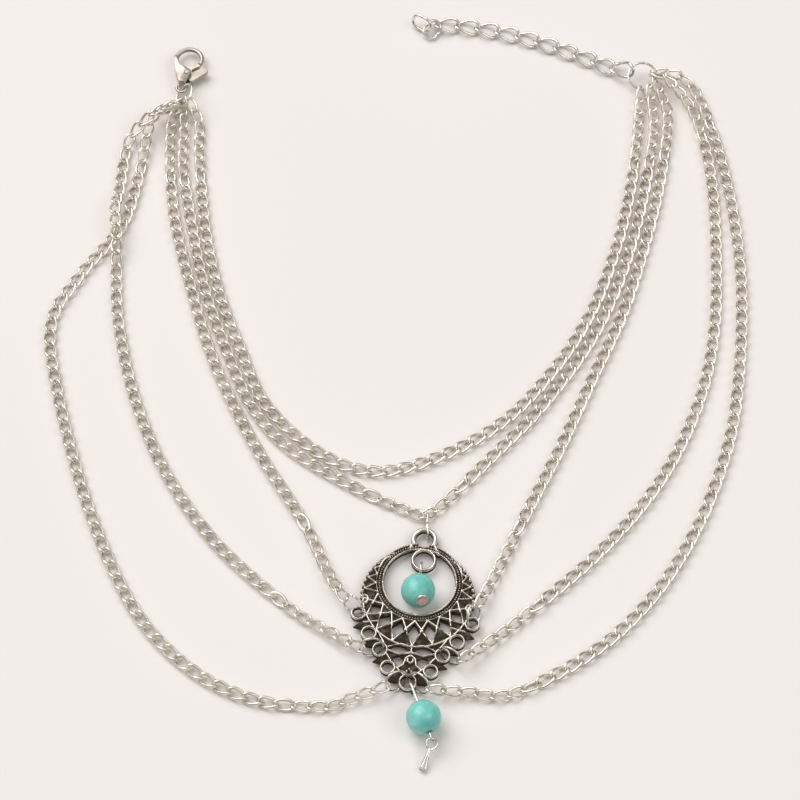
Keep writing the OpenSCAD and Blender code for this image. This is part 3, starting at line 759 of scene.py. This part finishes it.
def relief(x, y):
    """Height of the pendant's face above its back."""
    m = np.abs(x)
    r = np.hypot(x, y)
    a = np.degrees(np.arctan2(x, -y))
    h = np.full(np.shape(x), PLATE)

    def ridge(distance, half, top):
        """Raises a rounded ridge where the distance is below its half-width."""
        nonlocal h
        t = np.clip(1 - (distance / half) ** 2, 0, 1)
        lift = RIDGE_FOOT + (top - RIDGE_FOOT) * np.sqrt(t)
        h = np.maximum(h, np.where(distance < half, lift, 0))

    for radius, half, top in RIM_RIDGES:
        ridge(np.abs(r - radius), half, top)
    near = np.radians(np.round(a / 360 * RIM_BEADS) * 360 / RIM_BEADS)
    bead_x, bead_y = RIM_BEAD_ROW * np.sin(near), -RIM_BEAD_ROW * np.cos(near)
    ridge(np.hypot(x - bead_x, y - bead_y), *RIM_BEAD)
    for k in range(-4, 4):
        p, q = k * LATTICE, (k + 1) * LATTICE
        for start, end in ((p, q), (q, p)):
            inner, outer = polar(LATTICE_IN, start), polar(reach(end) - 0.45, end)
            ridge(to_line(x, y, inner, outer), *LATTICE_WIRE)
    below_horns = np.abs(a) < HORNS_FROM
    ridge(np.where(below_horns, np.abs(reach(a) - r - 0.3), FAR), *EDGE_RIDGE)
    zigzag = [polar(HORN_IN if i % 2 == 0 else reach(angle) - 0.4, angle)
              for i, angle in enumerate(HORN_ANGLES)]
    for p, q in zip(zigzag, zigzag[1:]):
        ridge(to_line(m, y, p, q), *HORN_WIRE)
    for angle in GRAINS:
        ridge(to_disc(m, y, *grain_at(angle), 0), GRAIN_R, GRAIN_TOP)
    for cx, cy, outer, bore in SIDE_RINGS + [FOOT_RING]:
        band = np.abs(to_disc(m, y, cx, cy, (outer + bore) / 2))
        ridge(band, (outer - bore) / 2 + 0.03, RING_TOP)
    for (cx, cy, outer, bore), part in ((TOP_LOOP, r > 7.5), (INNER_LOOP, r < 6.35)):
        band = np.abs(to_disc(x, y, cx, cy, (outer + bore) / 2))
        ridge(np.where(part, band, FAR), (outer - bore) / 2 + 0.04, LOOP_TOP)
    ridge(to_disc(x, y, *BALL[:2], 0), BALL[2], GRAIN_TOP)
    neck_side = [2.3, 6.6], [1.9, 7.6]
    ridge(to_line(m, y, *neck_side), 0.3, 1.1)
    for line in LINES:
        for p, q in zip(line, line[1:]):
            ridge(to_line(m, y, p, q), *LINE_RIDGE)
    for cx, cy, radius, top in DOTS:
        ridge(to_disc(m, y, cx, cy, 0), radius, top)
    curl = [9.3, -4.2, 0.75]
    ridge(np.abs(to_disc(m, y, *curl)), 0.2, 1.1)
    right_foot_dot = [3.75, -16.6]
    ridge(to_disc(x, y, *right_foot_dot, 0), 0.42, 1.1)
    return h


def pendant_face(step):
    """Points and faces of the pendant, from a square grid whose edge points move onto the outline."""
    low, high = (-12.2, -21.6), (12.2, 11.4)
    nx, ny = int((high[0] - low[0]) / step), int((high[1] - low[1]) / step)
    gx = low[0] + step * np.arange(nx + 1)
    gy = low[1] + step * np.arange(ny + 1)
    cx, cy = np.meshgrid(gx[:-1] + step / 2, gy[:-1] + step / 2, indexing="ij")
    metal = outline(cx, cy) < 0
    used = np.zeros((nx + 1, ny + 1), int)
    for i in (0, 1):
        for j in (0, 1):
            used[i:nx + i, j:ny + j] += metal
    x, y = np.meshgrid(gx, gy, indexing="ij")
    index = np.full((nx + 1, ny + 1), -1)
    keep = used > 0
    index[keep] = np.arange(keep.sum())
    px, py = x[keep].copy(), y[keep].copy()
    edge = used[keep] < 4
    ex, ey = px[edge], py[edge]
    near = 0.01
    for _ in range(4):
        s = outline(ex, ey)
        dx = (outline(ex + near, ey) - outline(ex - near, ey)) / (2 * near)
        dy = (outline(ex, ey + near) - outline(ex, ey - near)) / (2 * near)
        size = np.maximum(dx * dx + dy * dy, 0.3)
        ex, ey = ex - s * dx / size * 0.9, ey - s * dy / size * 0.9
    move = np.hypot(ex - px[edge], ey - py[edge])
    part = np.minimum(1, 0.6 * step / np.maximum(move, 1e-9))
    px[edge] += (ex - px[edge]) * part
    py[edge] += (ey - py[edge]) * part
    # The face rounds off to every edge, and the crescent's back is lowered inside its border
    rounding, front_drop, back_rise, hollow = 0.16, 0.14, 0.05, 0.32
    depth = np.clip(-outline(px, py) / rounding, 0, 1)
    top = relief(px, py) - front_drop * (1 - np.sqrt(depth * (2 - depth)))
    r, a = np.hypot(px, py), np.degrees(np.arctan2(px, -py))
    crescent = np.clip((reach(a) - 0.2 - r) / 0.3, 0, 1) * np.clip((r - 6.35) / 0.2, 0, 1)
    below_loop = np.clip((5.5 - py) / 0.5, 0, 1)
    back = back_rise * (1 - depth) - hollow * crescent * below_loop
    a = np.stack([index[:-1, :-1], index[1:, :-1], index[1:, 1:], index[:-1, 1:]], axis=-1)[metal]
    total = len(px)
    faces = [a, a[:, ::-1] + total]
    pairs = np.concatenate([a[:, [0, 1]], a[:, [1, 2]], a[:, [2, 3]], a[:, [3, 0]]])
    keys = np.sort(pairs, axis=1)
    _, first, counts = np.unique(keys, axis=0, return_index=True, return_counts=True)
    rim = pairs[first[counts == 1]]
    faces.append(np.stack([rim[:, 1], rim[:, 0], rim[:, 0] + total, rim[:, 1] + total], axis=1))
    points = np.concatenate([np.stack([px, py, top], axis=1), np.stack([px, py, back], axis=1)])
    return points, faces


GRID, QUICK_GRID = 0.08, 0.13
points, faces = pendant_face(GRID)
points = points @ turn(0, 0, PENDANT_TURN).T + PENDANT_AT
pendant = make("pendant_relief", points, faces, 50)
finish_piece(pendant, pendant_metal, "anklet", "old_silver", "pendant")


# Beads with drilled holes, and their pins

BEAD_R = 3.0
BORE_R = 0.5
BEAD_STEPS = 96


def bead(name, place, way, mat, node):
    """A round bead with a bore along a direction and rounded mouths."""
    mouth, lip, lip_rise = BORE_R * 1.35, BORE_R * 1.08, 0.08
    first = math.asin(mouth / BEAD_R)
    arc = np.linspace(first, math.pi - first, 56)
    shaft = BEAD_R * math.cos(first) - 2 * lip_rise
    ring = [(BEAD_R * math.sin(t), BEAD_R * math.cos(t)) for t in arc]
    ring += [(lip, -shaft - lip_rise), (BORE_R, -shaft)]
    ring += [(BORE_R, z) for z in np.linspace(-shaft * 0.8, shaft * 0.8, 6)]
    ring += [(BORE_R, shaft), (lip, shaft + lip_rise)]
    angles = np.linspace(0, 2 * np.pi, BEAD_STEPS, endpoint=False)
    pts = np.array([[r * math.cos(a), r * math.sin(a), z] for r, z in ring for a in angles])
    quads = []
    for i in range(len(ring)):
        here, there = i * BEAD_STEPS, (i + 1) % len(ring) * BEAD_STEPS
        for k in range(BEAD_STEPS):
            n = (k + 1) % BEAD_STEPS
            quads.append([here + n, here + k, there + k, there + n])
    pts = pts @ facing(way).T + np.asarray(place, float)
    return finish_piece(make(name, pts, [quads]), mat, "anklet", "stone", node)


def in_pendant(p):
    """A point given in the pendant's own X and Y, and at a height above the surface."""
    return np.asarray(p, float) @ turn(0, 0, PENDANT_TURN).T + PENDANT_AT * np.array([1, 1, 0])


def joined(name, pieces):
    """One object from several closed meshes given as (points, list of faces)."""
    points, by_size, shift = [], {}, 0
    for pts, groups in pieces:
        for group in groups:
            if len(group):
                group = np.asarray(group)
                by_size.setdefault(group.shape[1], []).append(group + shift)
        points.append(pts)
        shift += len(pts)
    return make(name, np.concatenate(points), [np.concatenate(g) for g in by_size.values()])


def circle_line(centre, rotation, radius, first, sweep, steps):
    """Points of an arc, turned and then moved to its centre."""
    angles = np.radians(np.linspace(first, first + sweep, steps))
    line = np.stack([radius * np.cos(angles), radius * np.sin(angles), 0 * angles], axis=1)
    return line @ rotation.T + np.asarray(centre, float)


# The upper bead stands on a headed pin, whose closed eye hangs in the pendant's inner loop
UPPER_AT = in_pendant([0, -2.4, BEAD_R])
UPPER_WAY = unit([0.22, -0.83, 0.51])
UPPER_EYE_AT = in_pendant([0, 2.42, 1.56])
UPPER_EYE_R, UPPER_EYE_WIRE = 1.25, 0.25
UPPER_FOOT = in_pendant([0, 1.32, 0.97])
SHANK_R = 0.22
EYE_STEPS = 96
# How far along the pin the head begins, from the bead's centre, and its outline as radius and height
HEAD_AT = 3.06
HEAD_STEPS = 48
HEAD = [(0, 0), (0.9, 0), (1.08, 0.05), (1.15, 0.16), (1.15, 0.3), (1.1, 0.42), (0.98, 0.5),
        (0.7, 0.55), (0.35, 0.53), (0, 0.52)]
bead("upper_bead_stone", UPPER_AT, UPPER_WAY, stone_upper, "upper_bead")

eye_turn = turn(0, 0, PENDANT_TURN) @ turn(0, 90, 0)
eye = circle_line(UPPER_EYE_AT, eye_turn, UPPER_EYE_R, 0, 360, EYE_STEPS + 1)[:-1]
eye_points, eye_faces = tube(eye, UPPER_EYE_WIRE, WIRE_SIDES, True)
shank = smooth([UPPER_FOOT] + [UPPER_AT + UPPER_WAY * s for s in (-3.35, -2.4, 0, 3.3)], 6)
shank_points, shank_faces = tube(shank, SHANK_R, WIRE_SIDES, False)
shank_caps = end_caps(len(shank_points), WIRE_SIDES)
shank_points = np.concatenate([shank_points, [shank[0]], [shank[-1]]])
shank_mesh = (shank_points, [shank_faces, shank_caps])
upper_pin = joined("upper_pin_wire", [(eye_points, [eye_faces]), shank_mesh])
finish_piece(upper_pin, ring_silver, "anklet", "silver", "upper_pin")
head_points, head_quads, head_tris = lathe(HEAD, HEAD_STEPS)
head_points = head_points @ facing(UPPER_WAY).T + UPPER_AT + UPPER_WAY * HEAD_AT
upper_head = make("upper_pin_head", head_points, [head_quads, head_tris])
finish_piece(upper_head, pin_head_metal, "anklet", "silver", "upper_pin")

# The lower bead lies on a pin with an eye at each end: a large one through the pendant's foot
# ring and a small one for the drop. The pin runs along its own X.
LOWER_AT = np.array([4.48, -71.91, BEAD_R])
LOWER_TURN = turn(0, 0, -71)
LOWER_WIRE = 0.225
FOOT_EYE_X, FOOT_EYE_R, FOOT_EYE_SWEEP = -6, 1.35, 306
DROP_EYE_X, DROP_EYE_R, DROP_EYE_SWEEP = 3.9, 0.65, 296
lower_way = LOWER_TURN @ np.array([1.0, 0, 0])
bead("lower_bead_stone", LOWER_AT, lower_way, stone_lower, "lower_bead")


def pin_eye(along_pin, radius, first, sweep):
    """Points of an upright eye that hangs below the pin's line."""
    steps = EYE_STEPS // 2 + 1
    return circle_line([along_pin, 0, -radius], turn(90, 0, 0), radius, first, sweep, steps)


foot_eye = pin_eye(FOOT_EYE_X, FOOT_EYE_R, 90, FOOT_EYE_SWEEP)
drop_eye = pin_eye(DROP_EYE_X, DROP_EYE_R, 90 - DROP_EYE_SWEEP, DROP_EYE_SWEEP)
middle = np.linspace([FOOT_EYE_X, 0, 0], [DROP_EYE_X, 0, 0], 24)[1:-1]
pin_line = np.concatenate([foot_eye[::-1], middle, drop_eye[::-1]]) @ LOWER_TURN.T + LOWER_AT
lower_pin = capped("lower_pin_wire", pin_line, LOWER_WIRE, WIRE_SIDES)
finish_piece(lower_pin, ring_silver, "anklet", "silver", "lower_pin")


# The small drop: a wire-thin eye that runs into a flat stem, fused and rounded

def fused(name, obj, voxel, rounds):
    """A copy of an object's mesh as one skin of a voxel size, softened a number of rounds."""
    mesh = obj.data.copy()
    copy = bpy.data.objects.new(name + "_source", mesh)
    scene.collection.objects.link(copy)
    copy.matrix_world = obj.matrix_world
    remesh = copy.modifiers.new("skin", "REMESH")
    remesh.mode = "VOXEL"
    remesh.voxel_size = voxel * MM
    soften = copy.modifiers.new("soften", "SMOOTH")
    soften.factor = 0.5
    soften.iterations = rounds
    graph = bpy.context.evaluated_depsgraph_get()
    result = bpy.data.meshes.new_from_object(copy.evaluated_get(graph))
    result.name = name
    result.transform(copy.matrix_world)
    result.polygons.foreach_set("use_smooth", np.ones(len(result.polygons), bool))
    bpy.data.objects.remove(copy)
    piece = bpy.data.objects.new(name, result)
    scene.collection.objects.link(piece)
    return piece


# In its own axes the eye's centre is at 0 and the stem runs along -Y
CHARM_TURN = turn(20, 0, -21)
CHARM_AT = np.array([5.83, -76.42, 2.13])
CHARM_EYE_R, CHARM_WIRE, CHARM_EYE_DIP = 0.925, 0.225, 0.1
CHARM_EYE_STEPS, CHARM_WIRE_SIDES = 72, 12
angles = np.linspace(0, 2 * np.pi, CHARM_EYE_STEPS, endpoint=False)
drop_line = np.stack([np.sin(angles), np.cos(angles), 0 * angles], axis=1) * CHARM_EYE_R
drop_line[:, 1] -= CHARM_EYE_DIP * np.clip(-np.cos(angles), 0, 1) ** 3
eye_points, eye_faces = tube(drop_line, CHARM_WIRE, CHARM_WIRE_SIDES, True)

# The stem's sections as Y, half-width and half-thickness, and the Y of its tip
STEM_SIDES = 24
STEM = [(-0.85, 0.24, 0.22), (-1.3, 0.33, 0.28), (-2, 0.38, 0.3), (-2.8, 0.46, 0.3),
        (-3.6, 0.56, 0.3), (-4.3, 0.64, 0.3), (-4.7, 0.6, 0.28), (-4.93, 0.42, 0.2)]
STEM_TIP = -5
angles = np.linspace(0, 2 * np.pi, STEM_SIDES, endpoint=False)
stem_points, stem_faces = [], []
for y, half, thick in STEM:
    stem_points += [[half * math.cos(a), y, thick * math.sin(a)] for a in angles]
for i in range(len(STEM) - 1):
    here, there = i * STEM_SIDES, (i + 1) * STEM_SIDES
    for k in range(STEM_SIDES):
        n = (k + 1) % STEM_SIDES
        stem_faces.append([here + k, here + n, there + n, there + k])
stem_caps = end_caps(len(stem_points), STEM_SIDES)
stem_points += [[0, STEM[0][0], 0], [0, STEM_TIP, 0]]
stem_mesh = (np.array(stem_points), [stem_faces, stem_caps])
rough_drop = joined("drop_rough", [(eye_points, [eye_faces]), stem_mesh])
rough_drop.data.transform(Matrix.Translation(CHARM_AT * MM) @ Matrix(CHARM_TURN.tolist()).to_4x4())
drop = fused("drop_charm_cast", rough_drop, 0.05, 4)
bpy.data.objects.remove(rough_drop)
finish_piece(drop, ring_silver, "anklet", "silver", "drop_charm")


# The clasp's castings, with softened edges. The body falls away on both sides of a ridge,
# which is given from the centre of the clasp's eye.
CLASP_AT = np.array([-42.1, 62.59, 1.4])
CLASP_RIDGE = [[-0.3, 1.4], [0.6, 3.5], [-1.2, 6.4]]
FALL, FALL_REACH, FALL_FROM = 0.4, 1.5, 0.62
clasp = fused("clasp_body_cast", nodes["clasp_body"], 0.06, 5)
points = np.empty(len(clasp.data.vertices) * 3)
clasp.data.vertices.foreach_get("co", points)
points = points.reshape(-1, 3) / MM - CLASP_AT
x, y, z = points.T
away = np.minimum(to_line(x, y, *CLASP_RIDGE[:2]), to_line(x, y, *CLASP_RIDGE[1:]))
beyond_eye = np.clip((y - 0.9) / 0.6, 0, 1)
fall = FALL * np.clip(away / FALL_REACH, 0, 1) ** 1.3 * beyond_eye
points[:, 2] -= np.sign(z) * np.clip(np.abs(z) - FALL_FROM, 0, None) * fall
clasp.data.vertices.foreach_set("co", ((points + CLASP_AT) * MM).ravel())
clasp.data.update()
finish_piece(clasp, clasp_silver, "anklet", "silver", "clasp_body")
lever = fused("clasp_lever_cast", nodes["clasp_lever"], 0.05, 3)
finish_piece(lever, clasp_silver, "lever", "silver", "clasp_lever")
pin = nodes["clasp_pin"]
pin.data.materials.clear()
pin.data.materials.append(clasp_silver)


# Surface, light and surroundings, in metres
FLOOR_HALF = 2
FLOOR_Z = -0.00003
corner_signs = ((-1, -1), (1, -1), (1, 1), (-1, 1))
floor_corners = [(x * FLOOR_HALF, y * FLOOR_HALF, FLOOR_Z) for x, y in corner_signs]
floor_mesh = bpy.data.meshes.new("surface")
floor_mesh.from_pydata(floor_corners, [], [(0, 1, 2, 3)])
floor = bpy.data.objects.new("surface", floor_mesh)
scene.collection.objects.link(floor)
floor_mat, tree, shader, place = material("pale_surface")
floor_tone = noise(tree, place, scale=6, detail=2)
floor_colour = ramp(tree, floor_tone, [(0.3, (0.865, 0.81, 0.79)), (0.7, (0.885, 0.835, 0.81))])
tree.links.new(floor_colour, shader.inputs["Base Color"])
shader.inputs["Roughness"].default_value = 0.8
shader.inputs["Specular IOR Level"].default_value = 0.2
floor.data.materials.append(floor_mat)

world = bpy.data.worlds.new("studio")
scene.world = world
world.use_nodes = True
tree = world.node_tree
back = next(n for n in tree.nodes if n.type == "BACKGROUND")
sky = tree.nodes.new("ShaderNodeTexCoord")
split = tree.nodes.new("ShaderNodeSeparateXYZ")
tree.links.new(sky.outputs["Generated"], split.inputs[0])
glow = ramp(tree, split.outputs["Z"], [(0.0, (0.10, 0.09, 0.08)), (0.35, (0.30, 0.28, 0.26)),
                                       (0.62, (0.75, 0.73, 0.71)), (1.0, (0.95, 0.94, 0.93))])
tree.links.new(glow, back.inputs["Color"])
back.inputs["Strength"].default_value = 0.62


def area(name, place, target, size, power, colour):
    data = bpy.data.lights.new(name, "AREA")
    data.shape = "RECTANGLE"
    data.size, data.size_y = size
    data.energy = power
    data.color = colour
    light = bpy.data.objects.new(name, data)
    scene.collection.objects.link(light)
    aim(light, place, target)


area("key", place=(-0.8, 0.72, 1.4), target=(0, 0, 0), size=(1.6, 1.6), power=24.0,
     colour=(1.0, 0.985, 0.98))
area("fill", place=(0.7, -0.25, 0.8), target=(0.03, -0.03, 0), size=(0.6, 0.6), power=2.1,
     colour=(0.995, 0.985, 0.99))
scene.view_settings.view_transform = "Standard"
scene.view_settings.look = "None"
